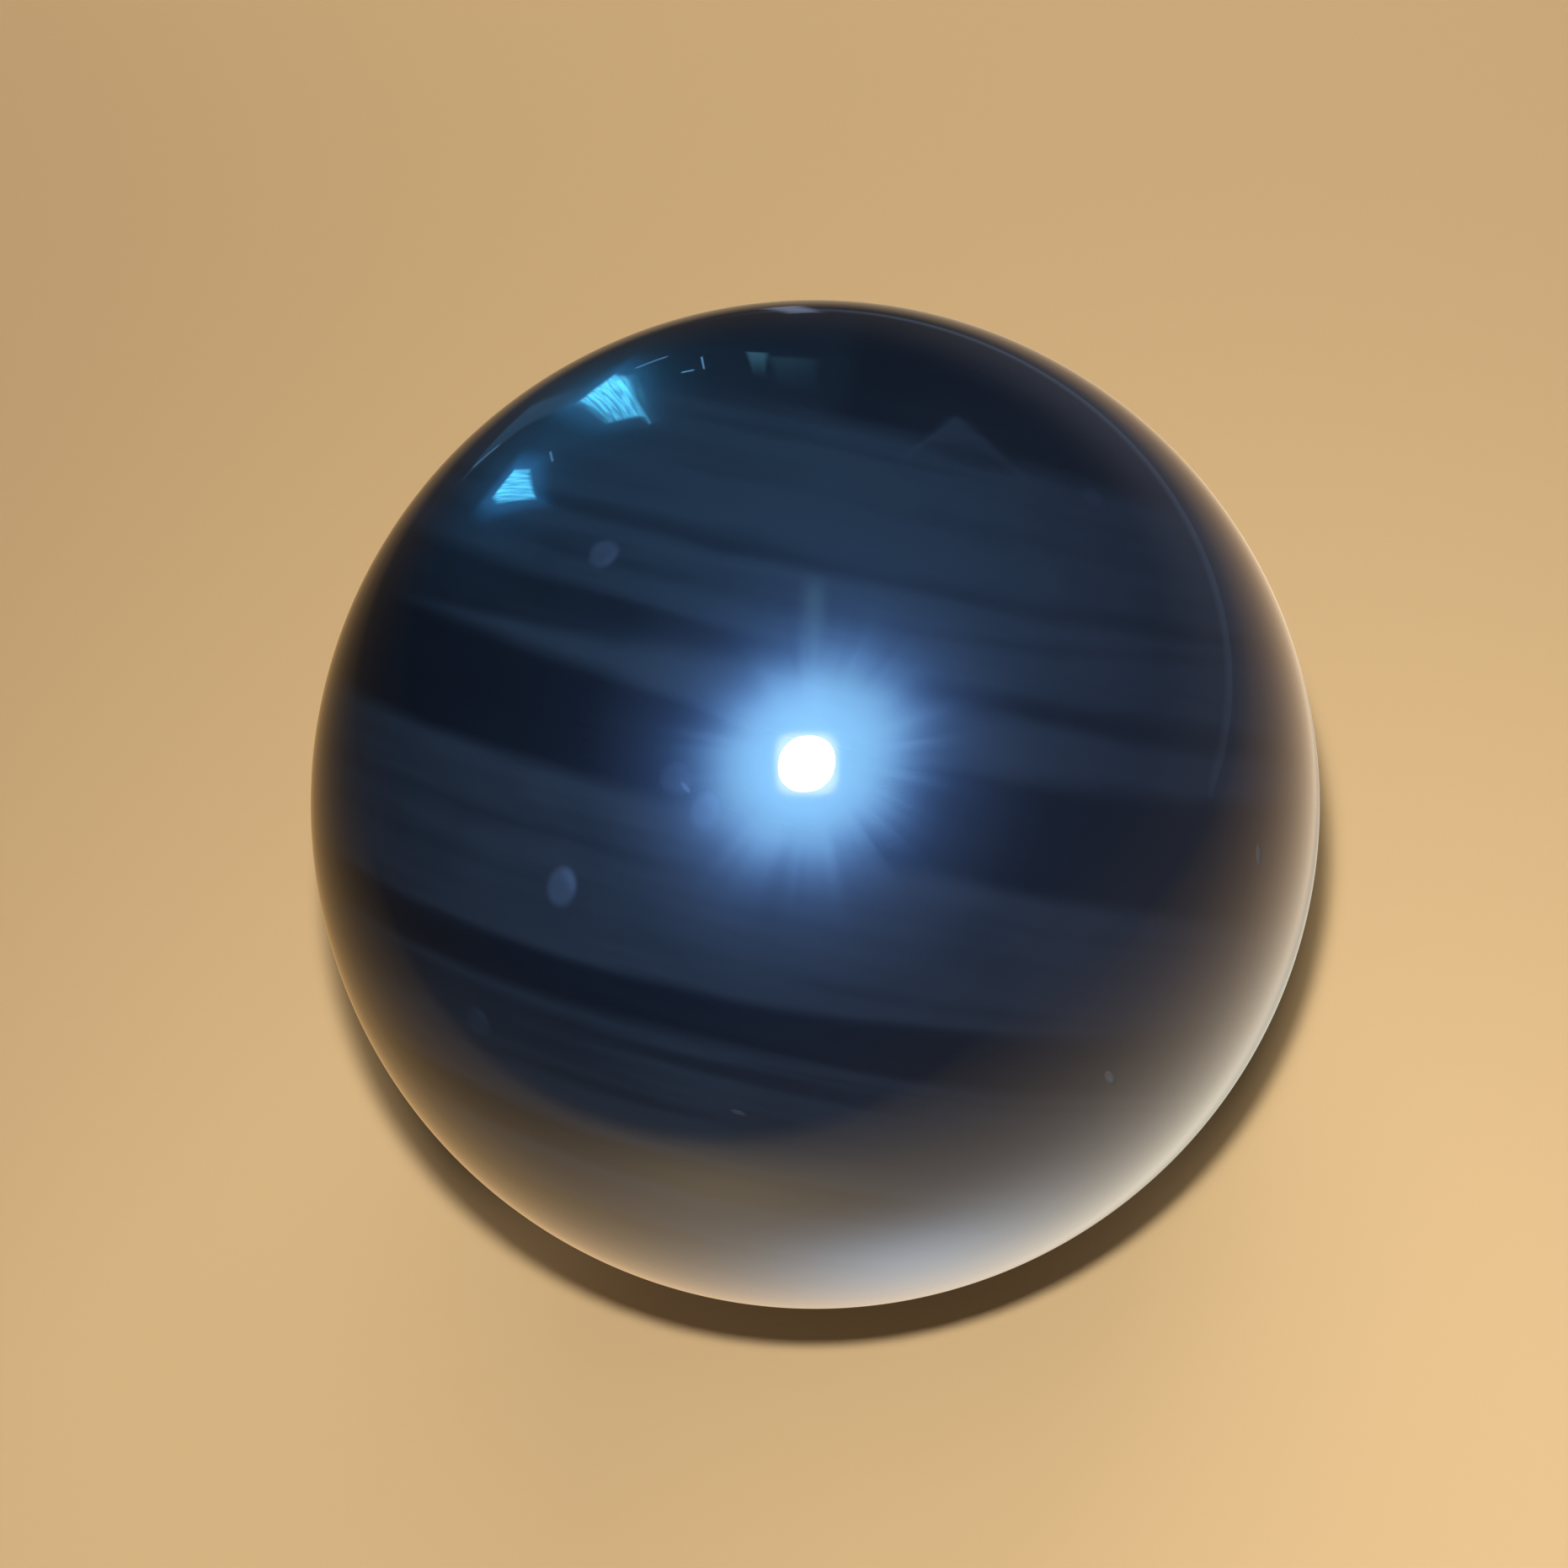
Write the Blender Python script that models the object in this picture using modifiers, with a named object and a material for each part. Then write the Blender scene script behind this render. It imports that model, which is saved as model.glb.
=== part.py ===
"""A polished midnight lace obsidian sphere: one solid ball of volcanic glass with a small ground flat under it.

Units are metres and +Z is up. The origin is the centre of the flat, on the surface that the ball stands on.
The ball is a turned shape: half of its outline is drawn in the XZ plane and swept once round +Z.
"""

import math

import bmesh
import bpy

# Driving dimensions
BALL_DIAMETER = 0.060
FLAT_DIAMETER = 0.008

# Fineness of the facets
STEPS_ROUND = 72
STEPS_TO_EQUATOR = 18
STEPS_TO_FLAT = 18
MERGE_DISTANCE = 0.00001

# Sizes that follow from them
BALL_RADIUS = BALL_DIAMETER / 2
FLAT_RADIUS = FLAT_DIAMETER / 2
CENTRE_HEIGHT = math.sqrt(BALL_RADIUS**2 - FLAT_RADIUS**2)

# Looks of the glass: near black with a blue cast, polished all over
OBSIDIAN_COLOUR = (0.020, 0.030, 0.050, 1.0)
OBSIDIAN_ROUGHNESS = 0.05
OBSIDIAN_INDEX = 1.49


def clear_scene():
    for old in list(bpy.data.objects):
        bpy.data.objects.remove(old, do_unlink=True)


def make_collection(name):
    collection = bpy.data.collections.new(name)
    bpy.context.scene.collection.children.link(collection)
    return collection


def obsidian_material():
    material = bpy.data.materials.new("obsidian")
    material.use_nodes = True
    shader = material.node_tree.nodes["Principled BSDF"]
    shader.inputs["Base Color"].default_value = OBSIDIAN_COLOUR
    shader.inputs["Roughness"].default_value = OBSIDIAN_ROUGHNESS
    shader.inputs["Metallic"].default_value = 0.0
    shader.inputs["IOR"].default_value = OBSIDIAN_INDEX
    return material


def arc_angles():
    """Angles down the outline, measured at the ball's centre from straight up.

    One of them is the equator, where the ball is widest, and the last is where the ball meets the flat.
    """
    equator = math.pi / 2
    last = math.pi - math.asin(FLAT_RADIUS / BALL_RADIUS)
    upper = [equator * step / STEPS_TO_EQUATOR for step in range(STEPS_TO_EQUATOR)]
    lower = [equator + (last - equator) * step / STEPS_TO_FLAT for step in range(STEPS_TO_FLAT + 1)]
    return upper + lower


def profile_points():
    """Half the outline, from the top pole down the outer side to the flat and in to its middle, as (x, z)."""
    points = []
    for angle in arc_angles():
        x = BALL_RADIUS * math.sin(angle)
        z = CENTRE_HEIGHT + BALL_RADIUS * math.cos(angle)
        points.append((x, z))
    points[-1] = (FLAT_RADIUS, 0.0)
    points.append((0.0, 0.0))
    return points


def make_profile(name):
    """The half outline as a mesh of edges, ready to be swept."""
    outline = bmesh.new()
    vertices = [outline.verts.new((x, 0.0, z)) for x, z in profile_points()]
    for upper, lower in zip(vertices, vertices[1:]):
        outline.edges.new((upper, lower))
    mesh = bpy.data.meshes.new(name)
    outline.to_mesh(mesh)
    outline.free()
    return mesh


def add_sweep(ball):
    screw = ball.modifiers.new("turn", "SCREW")
    screw.axis = "Z"
    screw.angle = math.tau
    screw.steps = STEPS_ROUND
    screw.render_steps = STEPS_ROUND
    screw.use_merge_vertices = True
    screw.merge_threshold = MERGE_DISTANCE
    screw.use_smooth_shade = True


def make_ball(collection):
    ball = bpy.data.objects.new("obsidian_sphere", make_profile("obsidian_sphere"))
    collection.objects.link(ball)
    ball.data.materials.append(obsidian_material())
    add_sweep(ball)
    return ball


def main():
    clear_scene()
    make_ball(make_collection("midnight_lace_obsidian_sphere"))


main()
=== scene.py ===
"""Looks of the midnight lace obsidian sphere: its polished skin, the flow bands in its glass, and the studio.

Units are metres and +Z is up. The origin is the middle of the ground flat that the ball stands on.
Lengths inside the ball are given in ball radii, from its centre.
A name that ends in RAMP holds two values: where a smooth ramp is 0, and where it is 1.
"""

import math
from collections import namedtuple

import bmesh
import bpy
from mathutils import Matrix, Vector


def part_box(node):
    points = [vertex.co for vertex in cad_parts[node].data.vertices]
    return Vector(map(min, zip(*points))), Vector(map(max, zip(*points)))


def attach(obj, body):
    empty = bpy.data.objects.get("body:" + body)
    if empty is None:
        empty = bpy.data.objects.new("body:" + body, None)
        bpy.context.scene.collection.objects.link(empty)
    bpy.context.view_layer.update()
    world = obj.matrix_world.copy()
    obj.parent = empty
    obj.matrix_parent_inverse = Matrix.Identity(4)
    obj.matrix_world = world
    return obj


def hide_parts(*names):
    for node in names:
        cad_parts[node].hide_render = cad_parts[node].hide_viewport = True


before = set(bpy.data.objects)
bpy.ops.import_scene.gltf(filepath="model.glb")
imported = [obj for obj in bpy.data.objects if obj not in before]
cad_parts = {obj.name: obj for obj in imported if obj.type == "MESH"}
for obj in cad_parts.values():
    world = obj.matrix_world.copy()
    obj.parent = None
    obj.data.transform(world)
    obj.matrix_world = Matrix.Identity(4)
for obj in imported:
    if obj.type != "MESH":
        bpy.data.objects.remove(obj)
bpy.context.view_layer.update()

# The ball, from the frame
LOWEST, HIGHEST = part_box("obsidian_sphere")
RADIUS = (HIGHEST.x - LOWEST.x) / 2
CENTRE = Vector((0.0, 0.0, HIGHEST.z - RADIUS))
FLAT_RADIUS = math.sqrt(RADIUS**2 - CENTRE.z**2)

# How noise varies a level: below low it gives the level dark, and above high the level pale
Shades = namedtuple("Shades", "low high dark pale")

# Camera: how high it looks from, how far it leans, and how far the ball is from the middle of the picture
PICTURE_WIDTH = 1862
FOCAL_PIXELS = 2320
SENSOR_WIDTH = 36.0
CAMERA_DISTANCE = 4.0 * RADIUS
CAMERA_ELEVATION = math.radians(48.8)
CAMERA_ROLL = math.radians(16.3)
BALL_PIXELS_RIGHT = 34.7
BALL_PIXELS_DOWN = 22.5
CAMERA_CLIP_START = 0.001

# Key light, beside the lens: a small lamp, its bright face, and the soft blue glow round the face
KEY_RIGHT = -0.082 * RADIUS
KEY_UP = 0.486 * RADIUS
KEY_DIAMETER = 0.005
KEY_POWER = 0.28
FACE_WIDTH = 0.0207
FACE_CORNER = 0.0095
FACE_LEAN = 0.09
FACE_SQUARENESS = 4.0
FACE_STRENGTH = 200.0
GLOW_RIGHT = 0.056 * RADIUS
GLOW_UP = 0.058 * RADIUS
GLOW_GAP = 0.0005
GLOW_RADIUS = 1.24 * RADIUS
GLOW_REACH = 4.2 * RADIUS
GLOW_FALL = 6.0
GLOW_STRENGTH = 18.0
GLOW_MIDDLE_RADIUS = 0.80 * RADIUS
VEIL_LIGHT = Vector((0.10, 0.14, 0.26))
VEIL_RAMP = (GLOW_REACH, 2.3 * RADIUS)
RAY_PLACE = 0.04 * RADIUS
RAY_HALF_WIDTH = 0.28 * RADIUS
RAY_TOP_RAMP = (3.1 * RADIUS, 2.325 * RADIUS)
RAY_STRENGTH = 1.7
FRINGE_LIGHT = Vector((8.0, 6.5, 1.0))
FRINGE_RAMP = (FACE_WIDTH / 2 + 0.11 * RADIUS, FACE_WIDTH / 2 - 0.022 * RADIUS)

# The glow in red and green, and then in blue, which spreads a little further. The middle is its level there.
Glow = namedtuple("Glow", "light spread middle")
GLOWS = (
    Glow(Vector((0.235, 0.53, 0.0)), 1.0, 0.94),
    Glow(Vector((0.0, 0.0, 0.755)), 1.09, 0.80),
)

# The glow reaches further in some directions. Its reach is an even share of its radius, with what each ripple
# adds, and with a slant that draws it out to the upper right and the lower left.
Ripple = namedtuple("Ripple", "fineness detail reach")
GLOW_EVEN_SHARE = 0.675
GLOW_RIPPLES = (Ripple(2.2, 1.0, 0.34), Ripple(9.0, 3.0, 0.20), Ripple(30.0, 2.0, 0.09))
GLOW_SLANT = 0.23

# Soft fill from above and from behind
FILL_WIDTH = 0.5
FILL_PLACE = Vector((0.20, 0.42, 0.32))
FILL_TARGET = Vector((0.03, 0.12, 0.0))
FILL_POWER = 3.6

# Cool panels that the polish mirrors near its upper edge, and the soft light round them. A corner is degrees
# round from +Y, degrees up, and its share of the panel's light. The light fades out over the margin, also in
# degrees. Some panels have fine streaks: "across" is square to them, and is longer where they are finer.
Panel = namedtuple("Panel", "corners margin strength colour across")
PANEL_DISTANCE = 120.0 * RADIUS
PANEL_SPACING = 0.5 * RADIUS
STREAK_RUN = Vector((0.0, 0.0, 7.0))
STREAK_DETAIL = 3.0
STREAK_SHADES = Shades(0.35, 0.62, 0.45, 1.18)
LONGEST_CORNER_STEP = 2.0
VIVID_BLUE = Vector((0.10, 0.62, 1.0))
DEEP_BLUE = Vector((0.05, 0.38, 1.0))
PALE_BLUE = Vector((0.20, 0.55, 1.0))
DIM_TEAL = Vector((0.20, 0.66, 1.0))
GREY_BLUE = Vector((0.55, 0.68, 1.0))


def bar(start, end, half_width):
    """The corners of a thin bar from one direction to another."""
    run = math.hypot(end[0] - start[0], end[1] - start[1])
    aside = ((start[1] - end[1]) / run * half_width, (end[0] - start[0]) / run * half_width)
    return tuple(
        (place[0] + side * aside[0], place[1] + side * aside[1], 1.0)
        for place, side in ((start, -1.0), (end, -1.0), (end, 1.0), (start, 1.0))
    )


LEFT_PANEL = (
    (-29.2, 17.6, 1.0),
    (-28.0, 15.0, 1.0),
    (-24.7, 14.6, 1.0),
    (-24.7, 18.2, 1.0),
    (-29.0, 26.4, 1.0),
)
MIDDLE_PANEL = (
    (-10.6, 8.4, 1.0),
    (-8.0, 6.4, 1.0),
    (-7.9, 9.6, 1.0),
    (-9.0, 25.0, 1.0),
    (-11.4, 22.6, 0.8),
)
MIDDLE_WISP = (
    (-7.0, 6.0, 0.6),
    (-6.2, 9.0, 0.6),
    (-7.4, 31.0, 0.2),
    (-8.4, 31.0, 0.2),
    (-8.2, 24.0, 0.8),
)
LOW_STRIP = (
    (-21.8, -2.9, 0.9),
    (-19.0, -1.6, 1.0),
    (-15.5, 0.2, 1.0),
    (-12.6, 7.2, 0.6),
    (-10.8, 1.0, 0.8),
    (-13.2, -6.8, 1.0),
)
NARROW_PANEL = ((7.7, 14.0, 1.0), (9.2, 15.0, 1.0), (9.8, 26.0, 0.0), (8.9, 26.0, 0.0))
RIGHT_PANEL = ((11.4, 18.0, 1.0), (15.4, 19.0, 0.8), (17.5, 30.0, 0.2), (13.0, 29.0, 0.2))
FAR_RIGHT_PANEL = ((18.0, 14.8, 1.0), (19.4, 14.8, 1.0), (25.0, 35.0, 0.5), (23.0, 36.0, 0.5))
PANELS = {
    "cool_panel_left": Panel(LEFT_PANEL, 1.2, 9.6, VIVID_BLUE, Vector((120.0, 60.0, 0.0))),
    "cool_halo_left": Panel(LEFT_PANEL, 5.0, 1.7, DEEP_BLUE, None),
    "cool_panel_middle": Panel(MIDDLE_PANEL, 2.0, 7.4, VIVID_BLUE, Vector((170.0, 0.0, 3.0))),
    "cool_halo_middle": Panel(MIDDLE_PANEL, 6.0, 0.80, DEEP_BLUE, None),
    "cool_wisp": Panel(MIDDLE_WISP, 1.2, 2.4, VIVID_BLUE, Vector((95.0, 0.0, 3.0))),
    "cool_line_middle": Panel(bar((-7.2, 8.0), (-8.0, 31.0), 0.06), 0.35, 2.6, VIVID_BLUE, None),
    "cool_strip": Panel(LOW_STRIP, 1.6, 0.20, PALE_BLUE, None),
    "cool_line_left": Panel(bar((-21.4, -3.1), (-19.1, -1.3), 0.2), 0.4, 0.8, PALE_BLUE, None),
    "cool_panel_narrow": Panel(NARROW_PANEL, 1.0, 0.85, DIM_TEAL, None),
    "cool_panel_right": Panel(RIGHT_PANEL, 2.4, 0.25, DIM_TEAL, None),
    "cool_panel_far_right": Panel(FAR_RIGHT_PANEL, 2.0, 0.03, DIM_TEAL, None),
    "cool_glint_level": Panel(bar((-0.5, 16.2), (0.7, 16.6), 0.1), 0.3, 4.0, PALE_BLUE, None),
    "cool_glint_upright": Panel(bar((2.0, 11.4), (2.1, 17.3), 0.02), 0.17, 3.0, PALE_BLUE, None),
    "cool_glint_left": Panel(bar((-20.4, 18.9), (-21.8, 22.2), 0.06), 0.24, 2.4, PALE_BLUE, None),
    "cool_line_top": Panel(bar((-4.6, 5.7), (-1.7, 5.8), 0.16), 0.45, 1.5, PALE_BLUE, None),
    "cool_glint_low": Panel(bar((7.2, -16.5), (9.6, -10.5), 0.4), 1.4, 0.45, GREY_BLUE, None),
}

# Surroundings, as the polish mirrors them, as light on the floor, and as the backdrop
ABOVE_COLOUR = (0.012, 0.018, 0.030, 1.0)
FAR_FLOOR_LEFT = (0.034, 0.026, 0.019, 1.0)
FAR_FLOOR_RIGHT = (0.100, 0.108, 0.140, 1.0)
FAR_FLOOR_RAMP = (0.10, 0.75)
HORIZON_RAMP = (0.20, -0.15)
AMBIENT_COLOUR = (0.42, 0.35, 0.30, 1.0)
BACKDROP_COLOUR = (0.62, 0.60, 0.56, 1.0)
FLOOR_COLOUR = Vector((0.389, 0.271, 0.138))
FLOOR_ROUGHNESS = 0.6
FLOOR_WIDTH = 8.0

# The contact shadow is deepened by painting the floor darker where the ball hides the key light but not the
# fill: a painted shadow. The ramps are how far the ball's centre is from the line to each light, in ball
# radii.
PAINTED_SHADOW_DEPTH = 0.76
KEY_HIDDEN_RAMP = (1.04, 0.93)
FILL_REACHES_RAMP = (0.65, 1.20)

# The pool of light on the floor that the polish mirrors. Places are in ball radii from under the ball. A lobe
# has its place, its reach to the sides and to the front and back, how steeply it falls off, and its light.
POOL_HALF = 24.0
POOL_GAP = 0.00002
Lobe = namedtuple("Lobe", "x y reach_x reach_y fall light")
POOL_LOBES = (
    Lobe(-0.14, -1.33, 0.93, 0.68, 3.0, Vector((0.68, 1.00, 1.36))),
    Lobe(0.67, 0.63, 0.70, 1.37, 1.28, Vector((0.79, 1.57, 1.87))),
    Lobe(-1.24, -2.21, 1.14, 0.80, 1.19, Vector((1.17, 0.89, 0.51))),
    Lobe(0.61, 0.57, 2.41, 3.08, 1.59, Vector((1.05, 0.46, 0.0))),
)
FOOT_RAMP = (0.06, 1.06)
FOOT_LEVEL = 0.1
SHADOW_PLACE = Vector((0.30, 0.60, 0.0))
SHADOW_RAMP = (1.16, 1.38)
SHADOW_LEVEL = 0.5
FRONT_DIRECTION = Vector((-0.68, -0.73, 0.0))
FRONT_RAMP = (4.2, 3.2)

# The pool's far edge on the right and at the back, where a faint cool trim runs round it. The far, inner and
# outer ramps are shares of the way to that edge.
POOL_RIGHT_EDGE = 7.1
POOL_BACK_EDGE = 8.2
POOL_FAR_RAMP = (0.92, 0.62)
TRIM_LIGHT = Vector((0.06, 0.10, 0.16))
TRIM_INNER_RAMP = (0.93, 0.97)
TRIM_OUTER_RAMP = (1.22, 1.02)
TRIM_SIDE_RAMP = (0.0, 3.0)
TRIM_FRONT_RAMP = (-1.9, -1.3)

# Directions in the glass: square to the layers, across them to the right, and across them towards the viewer
LAYER_AXIS = Vector((0.494, 0.579, 0.649)).normalized()
ACROSS_AXIS = Vector((0.868, -0.374, -0.328)).normalized()
DEPTH_AXIS = ACROSS_AXIS.cross(LAYER_AXIS).normalized()

# A dark band lies between two surfaces. Each surface is its height at the middle, its slope and its curve to
# the right. A band fades out at its left and right ends, unless they are far left and far right of the ball.
Band = namedtuple("Band", "bottom top soft depth left right")
FAR_LEFT = -2.0
FAR_RIGHT = 2.0
BAND_END = 0.12
TOP_LAYER_HEIGHT = 0.700
TOP_LAYER_SOFT = 0.030
TOP_LAYER_LEFT_DEPTH = 0.60
TOP_LAYER_RIGHT_DEPTH = 0.80
TOP_LAYER_RAMP = (-0.16, -0.08)
BANDS = (
    Band((0.447, 0.020, 0.075), (0.474, 0.020, 0.075), 0.013, 0.42, FAR_LEFT, FAR_RIGHT),
    Band((0.382, 0.045, 0.120), (0.404, 0.045, 0.120), 0.013, 0.34, FAR_LEFT, FAR_RIGHT),
    Band((0.285, 0.040, 0.000), (0.330, -0.010, 0.050), 0.018, 0.66, FAR_LEFT, FAR_RIGHT),
    Band((0.302, 0.050, 0.000), (0.330, 0.050, 0.000), 0.014, 0.30, 0.15, FAR_RIGHT),
    Band((0.046, -0.016, 0.000), (0.209, 0.000, 0.078), 0.021, 0.87, FAR_LEFT, FAR_RIGHT),
    Band((-0.060, 0.000, 0.000), (-0.034, 0.000, 0.000), 0.014, 0.28, FAR_LEFT, -0.15),
    Band((-0.184, 0.000, 0.000), (-0.174, 0.000, 0.000), 0.007, 0.15, -0.24, -0.12),
    Band((-0.181, 0.050, 0.000), (-0.167, 0.050, 0.000), 0.008, 0.22, 0.02, FAR_RIGHT),
    Band((-0.303, 0.020, 0.010), (-0.222, 0.050, 0.050), 0.016, 0.78, FAR_LEFT, FAR_RIGHT),
    Band((-0.240, 0.070, 0.060), (-0.224, 0.070, 0.060), 0.010, 0.40, 0.08, FAR_RIGHT),
    Band((-0.412, 0.000, 0.000), (-0.322, 0.000, 0.000), 0.014, 0.42, FAR_LEFT, -0.22),
    Band((-0.362, 0.000, 0.000), (-0.338, 0.020, 0.000), 0.008, 0.50, -0.20, 0.25),
    Band((-0.334, 0.030, 0.000), (-0.325, 0.030, 0.000), 0.005, 0.30, 0.02, FAR_RIGHT),
    Band((-0.446, 0.000, 0.000), (-0.428, 0.000, 0.000), 0.008, 0.28, -0.40, 0.00),
    Band((-0.600, 0.010, 0.030), (-0.530, 0.010, 0.030), 0.012, 0.75, FAR_LEFT, FAR_RIGHT),
    Band((-0.790, 0.000, 0.020), (-0.700, 0.000, 0.020), 0.012, 0.80, FAR_LEFT, FAR_RIGHT),
    Band((-1.300, 0.000, 0.000), (-0.900, 0.000, 0.000), 0.020, 0.70, FAR_LEFT, FAR_RIGHT),
)

# A small pointed fold that lifts the lower edge of the top layer. It has a paler edge, which shows only above
# its foot, and a darker pocket under it.
FOLD_ACROSS = 0.081
FOLD_HEIGHT = 0.751
FOLD_LEFT_SLOPE = 1.23
FOLD_RIGHT_SLOPE = 0.525
FOLD_ROUNDNESS = 0.02
FOLD_FOOT_RAMP = (0.655, 0.685)
FOLD_HALF_WIDTH = 0.016
FOLD_PALENESS = 0.30
POCKET_ACROSS = 0.125
POCKET_HEIGHT = 0.698
POCKET_HALF_WIDTH = 0.110
POCKET_HALF_HEIGHT = 0.026
POCKET_DEPTH = 0.45
POCKET_RAMP = (0.3, 1.2)

# Noise that is drawn out along the layers: how fine it is along them and square to them, its detail and its
# roughness
Noise = namedtuple("Noise", "along square detail roughness")
NOISE_MIDDLE = 0.5

# The layers wander a little at the front and more at the back, and their edges are feathered
WANDER_FINENESS = 1.6
WANDER_DETAIL = 3.0
WANDER_FRONT = 0.016
WANDER_BACK = 0.30
WANDER_BACK_RAMP = (0.15, -0.55)
FEATHER = Noise(3.0, 16.0, 2.0, 0.5)
FEATHER_REACH = 0.022

# Paler lace that runs through the dark layers at the back
LACE = Noise(1.4, 15.0, 2.0, 0.5)
LACE_SHADES = Shades(0.48, 0.60, 0.0, 0.95)
LACE_BACK_RAMP = (-0.12, -0.42)

# Fine streaks and broad streaks along the layers, and soft clouds, as shares of the glass's clearness
UNEVENNESS = (
    (Noise(1.2, 46.0, 3.0, 0.6), Shades(0.3, 0.7, 0.86, 1.12)),
    (Noise(1.68, 18.2, 2.0, 0.5), Shades(0.3, 0.7, 0.88, 1.10)),
    (Noise(5.0, 5.0, 2.0, 0.5), Shades(0.3, 0.7, 0.90, 1.08)),
)

# Colours of the glass in the dark bands, and of the clearer glass between them. They change from left to
# right, and the clearer ones also from the lower layers to the upper ones. That change is painted light and
# shade: the dark glass is painted darker on the left, and the clearer glass bluer in the upper layers.
DARK_GLASS_LEFT = (0.0011, 0.0016, 0.0033, 1.0)
DARK_GLASS_RIGHT = (0.0029, 0.0038, 0.0067, 1.0)
CLEAR_GLASS_TOP_LEFT = (0.0044, 0.0098, 0.0190, 1.0)
CLEAR_GLASS_TOP_RIGHT = (0.0056, 0.0086, 0.0160, 1.0)
CLEAR_GLASS_BOTTOM_LEFT = (0.0058, 0.0098, 0.0178, 1.0)
CLEAR_GLASS_BOTTOM_RIGHT = (0.0062, 0.0085, 0.0150, 1.0)
GLASS_PAINTED_LIGHT_RIGHT_RAMP = (-0.25, 0.60)
GLASS_PAINTED_LIGHT_TOP_RAMP = (-0.1, 0.5)

# The polish: a clear coat over a soft blue haze
HAZE_TINT = (0.19, 0.44, 1.0, 1.0)
HAZE_LEVEL = 0.235
HAZE_ROUGHNESS = 0.345
GLASS_INDEX = 1.49
COAT_INDEX = 1.5
COAT_ROUGHNESS = 0.015

# Small round bubbles just under the polish. A place is a direction from the ball's centre, and sizes are in
# ball radii. The edge is a painted highlight: how much brighter a bubble is painted on its side towards the
# key light.
Bubble = namedtuple("Bubble", "place half_width half_height turn paleness edge")
BUBBLE_COLOUR = (0.020, 0.037, 0.080, 1.0)
BUBBLE_RIM_RAMP = (1.20, 0.65)
BUBBLE_SIDE_RAMP = (0.5, 0.6)
BUBBLE_PAINTED_HIGHLIGHT_RAMP = (0.1, 0.95)
BUBBLES = (
    Bubble(Vector((-0.212, -0.197, 0.957)), 0.027, 0.026, 0.0, 0.22, 0.6),
    Bubble(Vector((-0.420, -0.609, 0.672)), 0.026, 0.034, 20.0, 0.34, 1.2),
    Bubble(Vector((-0.164, -0.623, 0.765)), 0.023, 0.030, 25.0, 0.22, 0.3),
    Bubble(Vector((-0.193, -0.571, 0.798)), 0.026, 0.026, 0.0, 0.13, 0.0),
    Bubble(Vector((-0.183, -0.586, 0.789)), 0.004, 0.011, -40.0, 0.55, 0.0),
    Bubble(Vector((-0.639, -0.636, 0.432)), 0.026, 0.028, 0.0, 0.07, 1.6),
    Bubble(Vector((0.595, -0.201, 0.778)), 0.022, 0.022, 0.0, 0.05, 0.0),
)

# Tiny nicks in the skin. A place is a direction from the ball's centre, and sizes are in ball radii. The wear
# is how matt a nick is, from 0 to 1, and it rises inwards from the rim. NICK_COSINE is the cosine of an angle
# wider than any nick: directions further than that from a nick are clear of it.
Nick = namedtuple("Nick", "place half_width half_height turn depth wear")
NICKS = (
    Nick(Vector((-0.255, -0.900, 0.355)), 0.015, 0.005, 18.0, 0.0003, 0.22),
    Nick(Vector((0.345, -0.922, 0.177)), 0.008, 0.020, -28.0, 0.0022, 1.0),
    Nick(Vector((0.708, -0.647, 0.284)), 0.009, 0.022, -12.0, 0.0011, 1.0),
    Nick(Vector((0.520, 0.610, 0.598)), 0.012, 0.009, 30.0, 0.0018, 1.0),
    Nick(Vector((-0.760, 0.480, -0.438)), 0.010, 0.016, 50.0, 0.0022, 1.0),
    Nick(Vector((0.130, -0.420, -0.898)), 0.014, 0.010, 10.0, 0.0026, 1.0),
)
NICK_COLOUR = (0.046, 0.047, 0.050, 1.0)
WORN_ROUGHNESS = 0.55
WEAR_RISE = 2.5
NICK_COSINE = 0.995

# The ground flat, matt grey from the wheel, with a fine grain. Skin below its height counts as ground.
GROUND_COLOUR = (0.050, 0.052, 0.056, 1.0)
GROUND_HEIGHT = 0.00001
GRAIN_FINENESS = 260.0
GRAIN_DETAIL = 2.0
GRAIN_SHADES = Shades(0.35, 0.65, 0.75, 1.15)

# Plain colours
BLACK = (0.0, 0.0, 0.0, 1.0)
WHITE = (1.0, 1.0, 1.0, 1.0)

# Skin: how fine the mesh is, how far round a nick it is finer, the step that a nick's slope is read from, and
# how near the flat a point counts as on it
CELLS_PER_SIDE = 96
NICK_SUBDIVISIONS = 3
NICK_MARGIN = 1.25
CELL_ANGLE = math.pi / 2 / CELLS_PER_SIDE
NORMAL_STEP = 0.0004
TOLERANCE = 1e-6


def camera_axes():
    """The camera's right, up and back directions when it looks straight at the ball's centre."""
    back = Vector((0.0, -math.cos(CAMERA_ELEVATION), math.sin(CAMERA_ELEVATION)))
    level_right = Vector((1.0, 0.0, 0.0))
    level_up = back.cross(level_right)
    right = level_right * math.cos(CAMERA_ROLL) - level_up * math.sin(CAMERA_ROLL)
    return right, back.cross(right), back


RIGHT, UP, BACK = camera_axes()
CAMERA_PLACE = CENTRE + BACK * CAMERA_DISTANCE
KEY_PLACE = CAMERA_PLACE + RIGHT * KEY_RIGHT + UP * KEY_UP


def set_axes(made, right, up, back):
    """Turns a thing so that its own X, Y and Z point in these directions."""
    made.rotation_euler = Matrix((right, up, back)).transposed().to_euler()


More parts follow.
